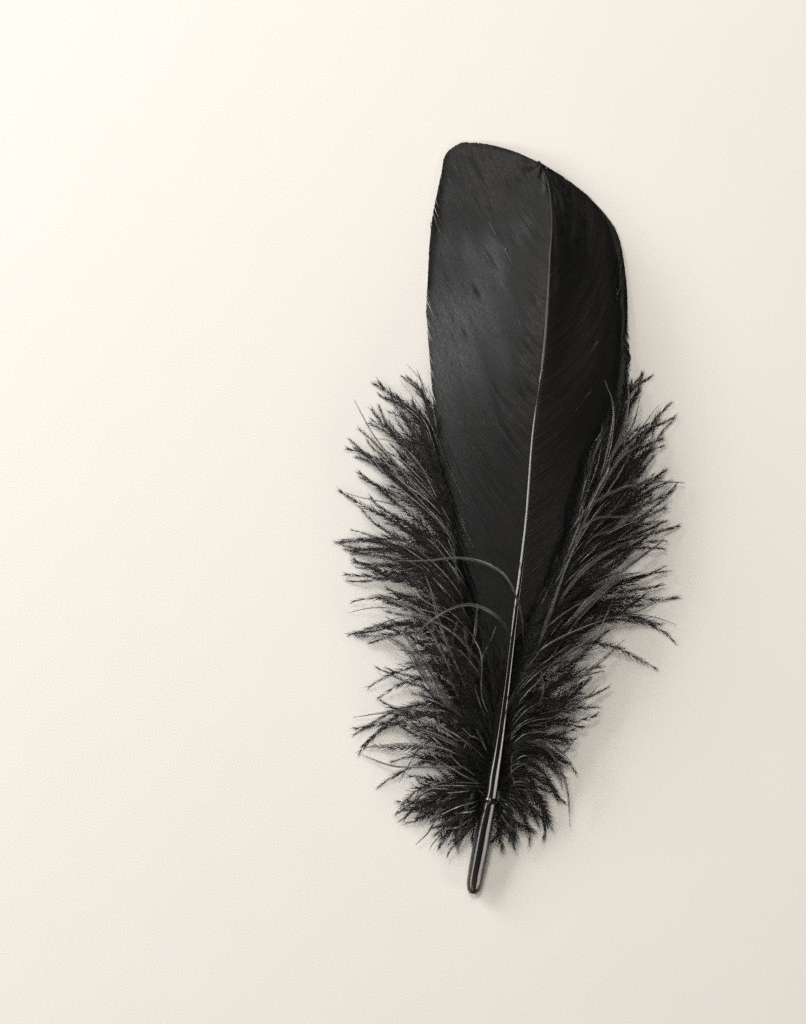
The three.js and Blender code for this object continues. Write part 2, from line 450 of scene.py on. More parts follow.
# Splits where neighbouring barbs have come unhooked: the place along the shaft, where
# the gap starts and ends on the barb, its width in mm, how far it moves its neighbours
# and the step between them in mm.
LEFT_SPLITS = [
    (0.716, 0.93, 1.2, 0.4, 0.015, 0.3),
    (0.667, 0.84, 1.2, 0.3, 0.006, 0.3),
    (0.652, 0.78, 1.2, 0.4, 0.008, 0.5),
    (0.640, 0.82, 1.2, 0.3, 0.006, 0.3),
    (0.535, 0.79, 0.9, 0.25, 0.01, 0.3),
    (0.44, 0.85, 1.1, 0.3, 0.01, 0.2),
]
RIGHT_SPLITS = [
    (0.30, 0.8, 1.1, 0.15, 0.015, 0.15),
]

# Single barbs out of place: the place along the shaft, where on the barb, half the width
# of the band of barbs, and how far it is raised and tilted in mm.
LEFT_BARBS = [
    (0.778, 0.02, 0.22, 0.0020, -0.06, -0.14),
    (0.767, 0.02, 0.2, 0.0020, -0.08, -0.14),
    (0.757, 0.02, 0.16, 0.0020, -0.05, -0.14),
    (0.944, 0.3, 0.8, 0.0020, -0.03, -0.05),
    (0.69, 0.9, 1.3, 0.0020, 0.2, 0.12),
    (0.62, 0.9, 1.3, 0.0020, 0.2, 0.12),
]
RIGHT_BARBS = [
    (0.53, 0.3, 0.85, 0.003, -0.06, -0.16),
    (0.517, 0.33, 0.47, 0.0025, 0.15, -0.2),
    (0.41, 0.28, 0.5, 0.0022, 0.08, -0.12),
]

# Broken barbs that lie on the webs, in photograph pixels, with half their width in mm.
LEFT_STUBS = [
    ([(489, 224), (497, 239), (505, 252), (514, 270)], 0.05),
    ([(505, 250), (505.5, 254)], 0.1),
    ([(517, 321), (519, 325), (517, 329)], 0.06),
    ([(482, 258), (483, 262)], 0.05),
    ([(433, 214), (438, 228), (448, 244)], 0.06),
    ([(430, 222), (433, 240), (441, 262)], 0.06),
    ([(509, 365), (512, 371)], 0.05),
]
RIGHT_STUBS = [
    ([(597, 342), (592, 349), (584, 357)], 0.1),
    ([(590, 392), (582, 401), (573, 413)], 0.05),
]

# How much of the foot of each vane is loose: full below the first share, none above
# the second.
LEFT_LOOSE = (0.04, 0.36)
RIGHT_LOOSE = (0.02, 0.22)

# The right web's margin stands up a little here: place along the shaft, spread, height.
RIGHT_FLARE = (0.2, 0.13, 1.6)

# Where the web is loose, groups of barbs and single ones drift along it, as shares of
# the vane, and rise out of it, in mm.
BARB_STEPS, BARBS_IN_GROUP = 36, 4
GROUP_DRIFT, BARB_DRIFT = 0.022, 0.008
GROUP_RISE, BARB_RISE = (-0.4, 1.4), (0, 0.5)
VANE_LENGTH = 150

# The cross section of a barb, as shares of its width and heights in mm: its low edge,
# its ridge, its high edge, which laps over the next barb, and its keel.
CORNER_SHARES = np.array([-0.72, -0.12, 0.74, -0.05])
CORNER_HEIGHTS = (-0.03, 0.05, 0.012, -0.10)

# In mm: how far the web lies over the back, its least height over the table and how far
# its margin is raised, with the share of each barb that is margin.
WEB_RISE, WEB_LOWEST, MARGIN_RISE = 0.2, 0.2, 0.12
MARGIN = (0.95, 1.0)

# Unevenness in mm: of single barbs, as small dimples and as wide clouds, with their
# sizes in barbs and steps. The foot of the web is the evener part of it.
BARB_SPREAD = 0.012
TWIST, DIMPLES = (0.035, (1, 1)), (0.03, (2, 2))
CLOUDS = [(0.2, (6, 3)), (0.4, (15, 6))]
EVEN_FOOT, EVEN_UP_TO = 0.4, (0.3, 0.6)

# Waves of the web: their height in mm, and radians along the vane and along the barb.
SLOW_WAVES, QUICK_WAVES = (0.10, 9, 3), (0.06, 31, -7)


def barb_freedom(loose, middle, v):
    """How free barbs are of their neighbours: at the foot, and a little at the margin."""
    at_foot = (1 - smooth(*loose, middle)) * smooth(0.25, 0.9, v)
    near_foot = 1 - smooth(loose[1], loose[1] + 0.25, middle)
    return np.maximum(at_foot, 0.15 * near_foot * smooth(0.85, 1, v))


def out_of_place(single, middle, v):
    """How far single barbs are raised and tilted."""
    lift = tilt = np.zeros((len(middle), v.shape[1]))
    for at, begins, ends, half, raise_by, tilt_by in single:
        here = (np.abs(middle - at) < half) * smooth(begins, begins + 0.08, v)
        here = here * (1 - smooth(ends - 0.08, ends, v))
        lift, tilt = lift + raise_by * here, tilt + tilt_by * here
    return lift, tilt


def split_open(splits, border, middle, v, lift):
    """The border of each barb moved away from the splits, with the steps beside them."""
    moved = border + np.zeros_like(v)
    for at, begins, ends, width, spread, step in splits:
        opened = smooth(begins, begins + 0.12, v) * (1 - smooth(ends - 0.1, ends, v))
        way = np.sign(middle - at)
        near = np.exp(-np.abs(border - at) / spread)
        moved = moved + 0.5 * width / VANE_LENGTH * opened * way * near
        lift = lift + step / 4 * opened * way * near
    return moved, lift


def waves(middle, v, height, along, across, phase=0):
    return height * np.sin(along * middle + across * v + phase)


def web_relief(vane, loose, middle, v, lift, free_rise, rng):
    """How far the barbs are rolled about their middle lines and raised, all in mm."""
    uneven = EVEN_FOOT + (1 - EVEN_FOOT) * smooth(*EVEN_UP_TO, middle)

    def patches(height, size):
        return height * mottle(rng, lift.shape, size)

    roll = rng.normal(0, BARB_SPREAD, (len(middle), 1)) + uneven * patches(*TWIST)
    wavy = waves(middle, v, *SLOW_WAVES, vane.side) + waves(middle, v, *QUICK_WAVES)
    rise = WEB_RISE + rng.normal(0, BARB_SPREAD, (len(middle), 1)) + lift
    rise = rise + wavy * smooth(0, 0.3, v) + uneven * patches(*DIMPLES) + free_rise
    clouds = sum(patches(*cloud) for cloud in CLOUDS)
    rise = rise + clouds * (uneven - EVEN_FOOT) * smooth(0.02, 0.15, v)
    rise = rise + MARGIN_RISE * smooth(*MARGIN, v) * smooth(*loose, middle)
    if vane.side == RIGHT:
        at, spread, height = RIGHT_FLARE
        rise = rise + height * smooth(0.4, 1.1, v) * np.exp(-(((middle - at) / spread) ** 2))
    return roll, rise


def make_vane(vane, splits, single, loose, material, seed):
    """Barbs side by side, each a ridged strip that laps over the next."""
    rng = np.random.default_rng(seed)
    barbs = vane.barbs
    v = np.linspace(0, 1, BARB_STEPS + 1)[None, :]
    middle = (np.arange(barbs)[:, None] + 0.5) / barbs

    # Barbs drift apart in small groups where the web is loose.
    freedom = barb_freedom(loose, middle, v)
    group = np.arange(barbs) // BARBS_IN_GROUP
    groups = group.max() + 1
    drift = rng.normal(0, GROUP_DRIFT, (groups, 1))[group]
    drift = drift + rng.normal(0, BARB_DRIFT, (barbs, 1))
    raised = rng.uniform(*GROUP_RISE, (groups, 1))[group]
    raised = raised + rng.uniform(*BARB_RISE, (barbs, 1))
    length = 1 + rng.normal(0, 0.0015, (barbs, 1))
    length = length - 0.3 * (1 - smooth(*loose, middle)) * rng.random((barbs, 1))

    lift, tilt = out_of_place(single, middle, v)
    edges = []
    for border in (middle - 0.5 / barbs, middle + 0.5 / barbs):
        moved, lift = split_open(splits, border, middle, v, lift)
        flat = vane.place(np.clip(moved + drift * freedom, 0, 1), v * length)
        edges.append(np.concatenate([flat, back_height(flat[..., :1], flat[..., 1:])], -1))
    low, high = edges
    centre, across = (low + high) / 2, high - low
    up = unit(np.cross(across, unit(np.gradient(centre, axis=1))) * vane.side)
    up *= np.where(up[..., 2:] < 0, -1, 1)

    roll, rise = web_relief(vane, loose, middle, v, lift, raised * freedom, rng)
    roll = roll + tilt
    centre = centre + up * rise[..., None]
    centre[..., 2] = np.maximum(centre[..., 2], WEB_LOWEST)
    width = ((1 - 0.15 * smooth(*MARGIN, v)) * (1 - 0.6 * freedom))[..., None]

    def corner(share, height):
        return centre + across * (share * width) + up * (height + share * roll)[..., None]

    corners = np.stack([corner(*pair) for pair in zip(CORNER_SHARES, CORNER_HEIGHTS)], 2)
    places = np.broadcast_arrays(middle[..., None] + CORNER_SHARES / barbs, v[..., None])
    places = np.stack(places, -1).reshape(-1, 2).clip(0, 1)
    counts = (barbs, BARB_STEPS + 1, len(CORNER_SHARES))
    quads, ends = ring_faces(*counts), end_faces(*counts)
    if vane.side == LEFT:
        quads, ends = quads[:, ::-1], ends[:, ::-1]
    piece = mesh_object(vane.name, corners.reshape(-1, 3), [quads, ends], places, material)
    fit(piece, vane.node)


# The down

# Guides for the loose barbs, root to tip, in photograph pixels, from the quill end up.
LEFT_GUIDES = [
    [(487, 804), (474, 822), (460, 838), (444, 852)],
    [(488, 800), (472, 815), (449, 832), (426, 846)],
    [(489, 797), (470, 806), (440, 820), (402, 842)],
    [(489, 793), (462, 796), (430, 806), (398, 822)],
    [(490, 787), (456, 784), (425, 784), (388, 792)],
    [(490, 780), (455, 768), (420, 756), (378, 750)],
    [(491, 770), (460, 745), (425, 725), (362, 716)],
    [(492, 755), (468, 722), (430, 690), (366, 668)],
    [(494, 745), (468, 712), (430, 668), (366, 637)],
    [(497, 725), (470, 690), (430, 630), (365, 604)],
    [(498, 700), (472, 650), (430, 598), (342, 575)],
    [(492, 672), (462, 618), (420, 568), (330, 548)],
    [(492, 672), (478, 640), (446, 586), (402, 545), (330, 522)],
    [(488, 652), (468, 605), (440, 560), (398, 522), (331, 498)],
    [(482, 630), (462, 580), (434, 540), (395, 500), (335, 470)],
    [(476, 608), (456, 555), (430, 508), (390, 470), (340, 440)],
    [(470, 585), (450, 530), (424, 482), (395, 445), (350, 408)],
    [(463, 560), (446, 508), (424, 462), (402, 427), (362, 392)],
    [(456, 530), (441, 480), (426, 440), (408, 408), (380, 380)],
    [(449, 495), (437, 440), (428, 408), (418, 384), (400, 366)],
    [(443, 460), (435, 412), (430, 386), (424, 366), (414, 350)],
]
RIGHT_GUIDES = [
    [(496, 804), (502, 822), (506, 838), (508, 856)],
    [(498, 800), (508, 818), (514, 834), (518, 852)],
    [(500, 795), (518, 800), (532, 815), (545, 838)],
    [(498, 788), (524, 778), (545, 790), (562, 815)],
    [(499, 780), (526, 752), (550, 760), (570, 790)],
    [(499, 768), (528, 740), (556, 740), (582, 752)],
    [(500, 755), (532, 722), (566, 716), (600, 712)],
    [(501, 742), (535, 706), (575, 694), (612, 676)],
    [(502, 730), (538, 690), (580, 668), (628, 648)],
    [(505, 710), (542, 660), (590, 625), (640, 600)],
    [(506, 695), (546, 640), (595, 590), (656, 556)],
    [(508, 680), (550, 615), (602, 565), (668, 525)],
    [(511, 660), (556, 590), (610, 540), (680, 495)],
    [(512, 655), (534, 622), (566, 570), (616, 515), (686, 465)],
    [(514, 648), (540, 608), (574, 550), (622, 495), (688, 440)],
    [(530, 630), (553, 590), (584, 530), (628, 470), (684, 412)],
    [(545, 605), (565, 560), (591, 508), (628, 447), (676, 396)],
    [(556, 580), (574, 535), (598, 482), (628, 425), (664, 382)],
    [(566, 552), (581, 510), (603, 457), (625, 405), (650, 368)],
    [(575, 520), (591, 475), (607, 432), (622, 390), (640, 356)],
    [(590, 478), (602, 440), (613, 405), (622, 375), (631, 346)],
]

# The guides below these run wilder than the others.
LEFT_WILD = 11
RIGHT_WILD = 8

# Dark strands that fan out over the foot of the left web.
FAN_GUIDES = [
    [(493, 760), (478, 712), (455, 668), (430, 640)],
    [(495, 745), (484, 695), (466, 648), (444, 612)],
    [(498, 722), (489, 680), (476, 640), (458, 600)],
    [(500, 705), (494, 668), (485, 632), (472, 596)],
    [(504, 690), (501, 655), (497, 625), (490, 598)],
]

# Single strands that catch the light, root to tip, with their lift over the back and
# half their width in mm. Their light grey colour is painted sheen, over their real gloss.
LEFT_FEATURES = [
    ([(524, 655), (516, 600), (502, 573), (481, 561), (456, 557), (427, 560), (397, 561)], 3.8, 0.22),
    ([(513, 648), (498, 617), (470, 603), (441, 612), (420, 630), (411, 647)], 4.2, 0.23),
    ([(476, 727), (445, 701), (427, 679), (409, 651), (391, 638), (365, 635)], 3.4, 0.6),
    ([(476, 727), (446, 698), (430, 670), (415, 648), (400, 630), (386, 616)], 3.0, 0.45),
    ([(470, 719), (434, 708), (391, 711), (354, 717)], 2.0, 0.2),
    ([(463, 697), (441, 651), (424, 622), (402, 604), (375, 594)], 2.0, 0.28),
    ([(460, 665), (436, 628), (412, 605), (384, 598)], 1.8, 0.24),
    ([(470, 694), (452, 654), (438, 619), (431, 590), (424, 572)], 2.4, 0.3),
    ([(445, 533), (427, 504), (400, 468), (377, 440), (354, 399)], 1.6, 0.16),
    ([(440, 515), (420, 490), (400, 470), (372, 459)], 1.4, 0.14),
    ([(477, 765), (445, 748), (409, 744), (366, 747)], 2.0, 0.34),
    ([(477, 766), (434, 766), (391, 765), (359, 754)], 1.8, 0.3),
    ([(473, 755), (452, 742), (425, 730), (400, 722)], 2.0, 0.36),
    ([(474, 776), (445, 800), (427, 833), (416, 844)], 1.6, 0.26),
    ([(478, 780), (463, 815), (456, 840)], 1.6, 0.24),
    ([(468, 690), (468, 664), (474, 636), (477, 604)], 1.2, 0.24),
    ([(480, 690), (479, 663), (488, 644), (495, 626)], 1.0, 0.2),
    ([(478, 700), (466, 640), (461, 600), (456, 569), (452, 540)], 1.2, 0.26),
    ([(470, 720), (449, 672), (456, 626), (463, 604)], 1.2, 0.22),
    ([(487, 745), (470, 735), (462, 748), (452, 752)], 1.2, 0.14),
    ([(485, 796), (481, 791), (478, 788)], 0.8, 0.12),
]
RIGHT_FEATURES = [
    ([(530, 672), (540, 637), (552, 601), (570, 554), (588, 520)], 2.8, 0.36),
    ([(560, 550), (584, 511), (606, 494), (641, 483), (684, 483)], 3.0, 0.28),
    ([(552, 644), (577, 611), (606, 583), (634, 561), (663, 540)], 3.6, 0.34),
    ([(541, 697), (570, 683), (599, 661), (623, 640)], 3.2, 0.34),
    ([(548, 620), (569, 585), (596, 559), (633, 538)], 3.2, 0.34),
    ([(560, 640), (588, 605), (620, 577), (641, 572)], 3.0, 0.34),
    ([(545, 672), (566, 653), (596, 632), (612, 600)], 3.4, 0.3),
    ([(575, 560), (590, 538), (614, 528), (629, 518)], 2.8, 0.28),
    ([(570, 545), (590, 520), (626, 516), (645, 510)], 3.2, 0.24),
    ([(575, 530), (597, 488), (606, 472), (609, 456)], 3.0, 0.24),
    ([(588, 515), (605, 478), (620, 458), (645, 442)], 2.8, 0.28),
    ([(590, 500), (602, 470), (610, 435), (612, 405), (604, 380)], 2.6, 0.22),
    ([(596, 500), (608, 462), (622, 430), (628, 400), (626, 372)], 2.6, 0.24),
    ([(600, 490), (612, 455), (632, 425), (640, 395)], 2.6, 0.24),
    ([(536, 712), (542, 689), (540, 667)], 2.8, 0.2),
    ([(509, 744), (531, 740), (549, 751), (563, 776), (570, 826)], 3.0, 0.24),
    ([(522, 741), (549, 741), (562, 751), (574, 739)], 3.2, 0.26),
    ([(526, 738), (545, 744), (556, 762), (562, 790)], 3.0, 0.26),
    ([(513, 746), (511, 769), (516, 789)], 1.4, 0.14),
    ([(545, 716), (566, 710), (588, 696), (598, 685)], 1.6, 0.18),
    ([(496, 797), (503, 799), (511, 805)], 0.8, 0.12),
    ([(496, 799), (502, 804), (507, 811)], 0.8, 0.12),
]

# The points along a strand, a fibre and a tuft.
STRAND_STEPS, FIBRE_STEPS, TUFT_STEPS = 22, 6, 12
ALONG = np.linspace(0, 1, STRAND_STEPS)

# A clump of strands takes up this much of the way from one guide to the next, and this
# is where its middle may be and how far its strands are drawn to it.
CLUMP = 0.4
DRAWN_TOGETHER = (0.2, 0.8)

# The spread of the angles, in radians, by which a clump, a strand and a stray turn and
# curl. The highest strands, past these guides, are tamer.
TURNS, CURLS = (0.05, 0.05, 0.18), (0.1, 0.07, 0.22)
TAME_GUIDES = (12, 15)

# The longest strands end at this distance from the middle of the feather's width.
WIDEST_TIPS = (36.0, 42.0)

# Heights of strands in mm: over the back at the root, at the tip and under the web, and
# least over the table. Beside the quill no strand is higher than this below its middle.
ROOT_RISE, TIP_RISE, HIDDEN_RISE = -0.6, (0.2, 1.3), -1.0
LOWEST_STRAND, UNDER_QUILL = 0.25, 1.4

# The margins of the vanes' feet, as x by y, under which the down starts.
left_margin = profile((y, x) for x, y in LEFT_EDGE[:6])
right_margin = profile((y, x) for x, y in RIGHT_EDGE[:7])


def covered(x, y):
    """1 under the web and 0 beyond its margin or below its foot."""
    left = smooth(54, 68, y) * smooth(-1.0, 1.5, x - left_margin(y))
    right = smooth(74, 90, y) * smooth(-1.0, 1.5, right_margin(y) - x)
    return np.where(x < shaft_x(y), left, right)


def resized(flat, by):
    """Lines made longer or shorter about their first points."""
    return flat[:, :1] + (flat - flat[:, :1]) * by[:, None, None]


def turned(flat, angle):
    """Lines turned about their first points by an angle that may change along them."""
    offset = flat - flat[:, :1]
    sideways = np.stack([-offset[..., 1], offset[..., 0]], -1)
    return flat[:, :1] + offset * np.cos(angle)[..., None] + sideways * np.sin(angle)[..., None]


def strands_between(guides, count, gather, rng):
    """Lines laid out between the guides in clumps, with the place and clump of each."""
    shape = np.stack([line(from_photo(guide))(ALONG) for guide in guides])
    last = len(guides) - 1

    # Long guides have more strands beside them, so that these are about as close.
    lengths = np.linalg.norm(np.diff(shape, axis=1), axis=2).sum(1)
    portion = np.append(0, np.cumsum(lengths[1:] + lengths[:-1] + 3 * lengths.mean()))
    order = (np.arange(count) + rng.random(count)) / count
    where = np.interp(order, portion / portion[-1], np.arange(last + 1.0))

    clump = np.minimum((where / CLUMP).astype(int), int(last / CLUMP))
    clumps = clump.max() + 1
    middle = (np.arange(clumps) + rng.uniform(*DRAWN_TOGETHER, clumps)) * CLUMP
    pull = gather * rng.uniform(*DRAWN_TOGETHER, clumps)[clump, None]
    pull = pull * smooth(0.1, 0.85, ALONG)
    bent = np.clip(where[:, None] + (middle[clump] - where)[:, None] * pull, 0, last)
    below = np.minimum(bent.astype(int), last - 1)
    share = (bent - below)[..., None]
    step = np.arange(STRAND_STEPS)
    return shape[below, step] * (1 - share) + shape[below + 1, step] * share, where, clump


def angles(spreads, clump, wild, stray, rng):
    """An angle for each strand, partly that of its clump, and larger for strays."""
    of_clump, of_strand, of_stray = spreads
    shared = rng.normal(0, of_clump, clump.max() + 1)[clump] * wild
    return (shared + rng.normal(0, np.where(stray, of_stray, of_strand)))[:, None]


def loosened(flat, where, clump, wild_below, reach, rng):
    """Strands cut to length, turned and curled, with their sizes and phases."""
    low = 1 - smooth(wild_below - 3, wild_below, where)
    wild = 1.0 + 0.7 * low - 0.7 * smooth(*TAME_GUIDES, where)
    stray = rng.random(len(flat)) < 0.1 * wild
    size = rng.uniform(0.9, 1.03, clump.max() + 1)[clump] * rng.uniform(*reach, len(flat))
    size = size * np.where(stray, 0.85, 1)
    turn = angles(TURNS, clump, wild, stray, rng)
    curl = angles(CURLS, clump, wild, stray, rng) * ALONG * 1.6
    phase = rng.uniform(0, 2 * np.pi, (len(flat), 2))
    ripple = 0.045 * ALONG * np.sin(8 * ALONG + phase[:, :1])
    flat = turned(resized(flat, size), turn + curl + ripple)

    # The longest strands are shortened, so that they end inside the feather's width.
    widest = np.abs(flat[..., 0] - MIDDLE[0]).max(1)
    flat = resized(flat, np.minimum(rng.uniform(*WIDEST_TIPS, len(flat)) / widest, 1))
    return flat, size[:, None], phase[:, 1:]


def strand_heights(flat, size, phase, rise, under_web, rng):
    """Heights of strands that come out at the shaft, rise over the back and sink again."""
    s = ALONG
    x, y = flat[..., 0], flat[..., 1]
    hidden = under_web * covered(x, y)
    over = rng.uniform(*rise, len(flat))[:, None]
    tip = rng.uniform(*TIP_RISE, len(flat))[:, None]
    height = ROOT_RISE + (over - ROOT_RISE) * smooth(0.02, 0.3, s)
    height = height + (tip - over) * smooth(0.5, 1, s)
    height = height + 0.22 * np.sin(20 * s * size + phase) * smooth(0.1, 0.4, s)
    height = back_height(x, y) + (height * (1 - hidden) + HIDDEN_RISE * hidden)
    height = np.maximum(height, LOWEST_STRAND + 0.5 * rng.random((len(flat), 1)))
    at_quill = (1 - smooth(2.0, 3.6, np.abs(x - shaft_x(y)))) * (1 - smooth(22, 26, y))
    return height - at_quill * np.maximum(height - shaft_z(y) + UNDER_QUILL, 0)


def strand_paths(guides, wild_below, layer, rng, under_web=1.0):
    """A layer's middle lines between the guides, drawn together in clumps, with heights."""
    guides, wild_below = guides[layer.lowest:], wild_below - layer.lowest
    flat, where, clump = strands_between(guides, layer.count, layer.gather, rng)
    flat, size, phase = loosened(flat, where, clump, wild_below, layer.reach, rng)
    height = strand_heights(flat, size, phase, layer.rise, under_web, rng)
    return np.concatenate([flat, height[..., None]], -1)


# A single strand is split in parts of about this half width, which lie so far apart, all
# in mm.
PART_HALF, PART_GAP = 0.12, 0.32


def feature_paths(features, rng):
    """The single strands' middle lines, the wide ones split in a few, with half widths."""
    s = ALONG
    paths, thick = [], []
    for pixels, lift, half in features:
        flat = line(from_photo(pixels))(s)
        along = unit(np.gradient(flat, axis=0))
        beside = np.stack([-along[:, 1], along[:, 0]], -1)
        rise = -0.4 + (lift + 0.4) * smooth(0, 0.25, s) - 0.3 * lift * smooth(0.85, 1, s)
        parts = max(1, round(half / PART_HALF))
        several = parts > 1
        for k in range(parts):
            swell = np.sin(np.pi * s ** rng.uniform(0.6, 1.6)) ** 0.8
            aside = (k - (parts - 1) / 2) * PART_GAP * swell
            aside = aside + 0.08 * np.sin(7 * s + rng.uniform(0, 6)) * several
            moved = flat + beside * aside[:, None]
            higher = rise + rng.uniform(-0.25, 0.25) * several
            height = back_height(moved[:, 0], moved[:, 1]) + higher
            paths.append(np.column_stack([moved, np.maximum(height, 0.4)]))
            thick.append(half / parts * 0.65)
    return np.stack(paths), np.array(thick)


def on_strands(values, strand, s):
    """Values known at each step of each strand, read at the places s of the strands named."""
    at = np.clip(s, 0, 1) * (values.shape[1] - 1)
    k = np.minimum(at.astype(int), values.shape[1] - 2)
    share = (at - k)[..., None]
    strand = strand.reshape(-1, *[1] * (s.ndim - 1))
    return values[strand, k] * (1 - share) + values[strand, k + 1] * share


# The least heights over the table of the down and of the tips of its spikes.
LOWEST, LOWEST_TIP = 0.03, 0.08


class Tangle:
    """Many thin closed shapes, gathered for one mesh."""

    def __init__(self):
        self.corners, self.places, self.faces, self.total = [], [], [], 0

    def gather(self, corners, places, faces):
        self.corners.append(corners.reshape(-1, 3))
        self.places.append(places.reshape(-1, 2))
        self.faces += [f + self.total for f in faces]
        self.total += len(self.corners[-1])

    def rods(self, paths, radius, thread, roll, places):
        """Tapering rods round lines, with every other side drawn in to make ridges."""
        _, across, up = frames(paths)
        sides = np.arange(thread.sides)
        turn = 2 * np.pi * sides / thread.sides + roll[..., None]
        round_by = np.cos(turn)[..., None] * across[:, :, None]
        round_by = round_by + thread.height * np.sin(turn)[..., None] * up[:, :, None]
        drawn_in = (1 - thread.ridge * (sides % 2))[:, None]
        corners = paths[:, :, None] + radius[..., None, None] * drawn_in * round_by
        corners[..., 2] = np.maximum(corners[..., 2], LOWEST)
        spread = places[:, :, None] + sides[:, None] * [0, 0.002]
        quads = ring_faces(len(paths), paths.shape[1], thread.sides)[:, ::-1]
        ends = end_faces(len(paths), paths.shape[1], thread.sides)[:, ::-1]
        self.gather(corners, spread, [quads, ends])

    def spikes(self, root, way, beside, length, half, roof, places):
        """Slim three-sided spikes, wide rather than high."""
        flat = unit(np.cross(way, beside))
        top = np.cross(flat, way)
        tip = root + way * length
        tip[:, 2] = np.maximum(tip[:, 2], LOWEST_TIP)
        corners = np.stack([root + flat * half, root - flat * half, root + top * roof, tip], 1)
        corners[..., 2] = np.maximum(corners[..., 2], LOWEST)
        first = 4 * np.arange(len(root))[:, None, None]
        triangles = np.array([[0, 1, 2], [1, 0, 3], [2, 1, 3], [0, 2, 3]])
        spread = places[:, None] + 0.004 * np.array([[0, 0], [0, 1], [1, 0], [1, 1]])
        self.gather(corners, spread, [(first + triangles).reshape(-1, 3)])

    def mesh(self, name, material):
        places = np.concatenate(self.places).clip(0, 1)
        return mesh_object(name, np.concatenate(self.corners), self.faces, places, material)


# A rod's sides, its height as a share of its width, and how far its ridges stand out.
Thread = namedtuple("Thread", "sides height ridge")
DARK_THREAD, BRIGHT_THREAD = Thread(4, 1.0, 0), Thread(6, 0.6, 0.3)
TUFT_THREAD, STUB_THREAD = Thread(6, 0.5, 0), Thread(6, 0.8, 0)
FIBRE_THREAD = Thread(3, 0.7, 0)

# How many fibres there are, and how far they lie from their threads.
Fibres = namedtuple("Fibres", "count width")

# How many barbules there are, the longest one's length, half their width at the root,
# the angles at which they leave their threads, and how they crowd: towards the root of
# the thread above 1 and towards its tip below.
Barbules = namedtuple("Barbules", "count longest half slants crowding")

# The lowest guide that a layer follows, its strands and how far they are drawn together,
# their rise over the back, and their length as a share of the guides'.
Layer = namedtuple("Layer", "name lowest count gather rise reach fibres barbules")
LAYERS = [
    Layer("foot", 2, 110, 0.2, (-1.8, 0.0), (0.2, 0.5),
          Fibres(100, 1.0), Barbules(8500, 2.8, 0.13, (0.4, 1.0), 1.4)),
    Layer("under", 0, 90, 0.25, (-1.6, 0.6), (0.65, 1.0),
          Fibres(250, 1.1), Barbules(23500, 3.8, 0.1, (0.4, 1.05), 1.0)),
    Layer("over", 0, 84, 0.9, (0.2, 2.4), (0.65, 1.0),
          Fibres(450, 1.1), Barbules(26000, 3.2, 0.07, (0.25, 0.9), 0.9)),
]
BRIGHT_LAYER = Layer("sheen_painted", 0, 14, 1.0, (1.0, 3.2), (0.5, 0.95),
                     Fibres(300, 0.4), Barbules(5000, 1.5, 0.035, (0.15, 0.6), 0.9))
TUFT_LAYER = Layer("tufts_painted_sheen", 0, 120, 1.0, (0.8, 3.2), (0.65, 1.0),
                   Fibres(150, 0.25), Barbules(4500, 1.4, 0.035, (0.1, 0.45), 0.9))
FAN_LAYER = Layer("fan", 0, 30, 1.0, (0.4, 1.6), (0.6, 1.0),
                  Fibres(250, 0.6), Barbules(3600, 1.6, 0.045, (0.25, 0.6), 0.9))
TUFTS = 150

# Radii of threads in mm, and the share of their length past which they draw out.
DARK_RADII, DARK_TAPER = (0.045, 0.075), 0.2
BRIGHT_RADII, BRIGHT_TAPER = (0.09, 0.15), 0.6
FAN_RADII, FAN_TAPER = (0.06, 0.1), 0.4
FIBRE_RADII, TUFT_RADII = (0.04, 0.065), (0.06, 0.15)
THINNEST = 0.01

# How far over the back broken barbs lie, in mm, and the points along them.
STUB_RISE, STUB_STEPS = 0.42, 9


def tapered(thick, begins):
    """Radii along threads that swell from the root and draw out past a share of the length."""
    s = ALONG
    swell = 0.45 + 0.55 * smooth(0, 0.3, s)
    return thick[:, None] * swell * (1 - 0.93 * smooth(begins, 1.05, s)) + THINNEST


def short_lengths(paths, count, rng):
    """Short lengths taken from lines at random."""
    strand = rng.integers(len(paths), size=count)
    begin = rng.uniform(0.08, 0.8, count)[:, None]
    end = np.minimum(begin + rng.uniform(0.15, 0.45, count)[:, None], 1.0)
    return on_strands(paths, strand, begin + (end - begin) * np.linspace(0, 1, TUFT_STEPS))


def map_spots(at, tone):
    """Places on the map: along it by the share of the strand, and across it by the tone."""
    return np.stack(np.broadcast_arrays(at * 0.9 + 0.03, tone), -1)


class Strands:
    """Loose barbs' middle lines, with a tone for each."""

    def __init__(self, paths, rng):
        self.paths = paths
        self.ways = frames(paths)
        self.tones = rng.uniform(0.03, 0.95, len(paths))
        lengths = np.linalg.norm(np.diff(paths, axis=1), axis=2).sum(1)
        self.chance = lengths / lengths.sum()

    def pick(self, count, rng):
        """Strands at random, the long ones more often."""
        return rng.choice(len(self.paths), count, p=self.chance)

    def tone(self, strand, rng):
        return self.tones[strand] + rng.uniform(-0.02, 0.02, len(strand))


def add_threads(tangle, strands, radius, thread, rng):
    """One thread along each strand."""
    count, steps = strands.paths.shape[:2]
    s = np.linspace(0, 1, steps)
    twist = rng.uniform(-0.6, 0.6, (count, 1)) + rng.uniform(-1.2, 1.2, (count, 1)) * s
    tangle.rods(strands.paths, radius, thread, twist, map_spots(s, strands.tones[:, None]))


